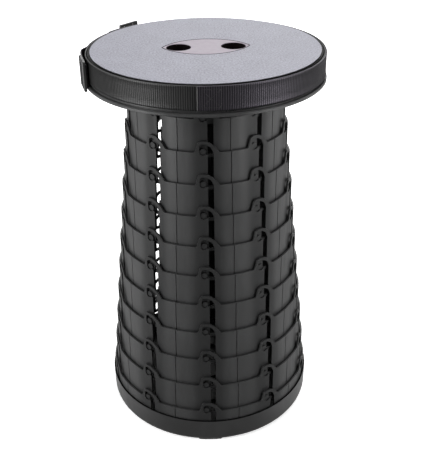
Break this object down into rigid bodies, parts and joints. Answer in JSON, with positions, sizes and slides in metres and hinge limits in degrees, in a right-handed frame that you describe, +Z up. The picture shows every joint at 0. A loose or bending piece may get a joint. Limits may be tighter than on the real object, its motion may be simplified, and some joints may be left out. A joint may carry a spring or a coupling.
{
  "type": "camp stool",
  "caption": "Round telescoping camp stool: nested hook rings between a shallow base tray and a strapped round lid with two finger holes.",
  "frame": {"origin": "on the stool's axis at floor level, under the middle of the base", "axes": "+Z up along the axis, -Y to the front, +X to the right"},
  "size_m": [0.2647, 0.2628, 0.4509],
  "materials": {
    "ring_plastic": "fine moulded satin, charcoal black",
    "base_plastic": "fine moulded satin, charcoal black",
    "lid_plastic": "satin moulded, charcoal black",
    "seat_sheet": "smooth matte sheet, light cool grey",
    "insert_plastic": "smooth, pale pinkish grey",
    "webbing": "ribbed woven polyester, black",
    "slider_plastic": "smooth moulded, black",
    "foot_rubber": "soft matte, black",
    "screw_steel": "zinc plated"
  },
  "bodies": {
    "base": {"base_tray": "base_plastic", "foot_pads": "foot_rubber", "ring_00": "ring_plastic"},
    "ring_01_body": {"ring_01": "ring_plastic"},
    "ring_02_body": {"ring_02": "ring_plastic"},
    "ring_03_body": {"ring_03": "ring_plastic"},
    "ring_04_body": {"ring_04": "ring_plastic"},
    "ring_05_body": {"ring_05": "ring_plastic"},
    "ring_06_body": {"ring_06": "ring_plastic"},
    "ring_07_body": {"ring_07": "ring_plastic"},
    "ring_08_body": {"ring_08": "ring_plastic"},
    "ring_09_body": {"ring_09": "ring_plastic"},
    "ring_10_body": {"ring_10": "ring_plastic"},
    "lid_body": {"lid": "lid_plastic", "lid_collar": "ring_plastic", "collar_screws": "screw_steel", "seat_disc": "seat_sheet", "finger_insert": "insert_plastic", "webbing_strap": "webbing", "end_slider": "slider_plastic", "strap_end": "webbing"},
    "slider_body": {"strap_slider": "slider_plastic", "slider_fold": "webbing"}
  },
  "joints": [
    {"name": "ring_01_slide", "type": "slide", "parent": "base", "child": "ring_01_body", "axis": [0, 0, 1], "range_m": [-0.0354, 0]},
    {"name": "ring_02_slide", "type": "slide", "parent": "ring_01_body", "child": "ring_02_body", "axis": [0, 0, 1], "range_m": [-0.0354, 0]},
    {"name": "ring_03_slide", "type": "slide", "parent": "ring_02_body", "child": "ring_03_body", "axis": [0, 0, 1], "range_m": [-0.0354, 0]},
    {"name": "ring_04_slide", "type": "slide", "parent": "ring_03_body", "child": "ring_04_body", "axis": [0, 0, 1], "range_m": [-0.0354, 0]},
    {"name": "ring_05_slide", "type": "slide", "parent": "ring_04_body", "child": "ring_05_body", "axis": [0, 0, 1], "range_m": [-0.0354, 0]},
    {"name": "ring_06_slide", "type": "slide", "parent": "ring_05_body", "child": "ring_06_body", "axis": [0, 0, 1], "range_m": [-0.0354, 0]},
    {"name": "ring_07_slide", "type": "slide", "parent": "ring_06_body", "child": "ring_07_body", "axis": [0, 0, 1], "range_m": [-0.0354, 0]},
    {"name": "ring_08_slide", "type": "slide", "parent": "ring_07_body", "child": "ring_08_body", "axis": [0, 0, 1], "range_m": [-0.0354, 0]},
    {"name": "ring_09_slide", "type": "slide", "parent": "ring_08_body", "child": "ring_09_body", "axis": [0, 0, 1], "range_m": [-0.0354, 0]},
    {"name": "ring_10_slide", "type": "slide", "parent": "ring_09_body", "child": "ring_10_body", "axis": [0, 0, 1], "range_m": [-0.0354, 0]},
    {"name": "lid_slide", "type": "slide", "parent": "ring_10_body", "child": "lid_body", "axis": [0, 0, 1], "range_m": [-0.0308, 0]},
    {"name": "slider_shift", "type": "hinge", "parent": "lid_body", "child": "slider_body", "pos_m": [0, 0, 0.4359], "axis": [0, 0, 1], "range_deg": [-5, 5]}
  ]
}
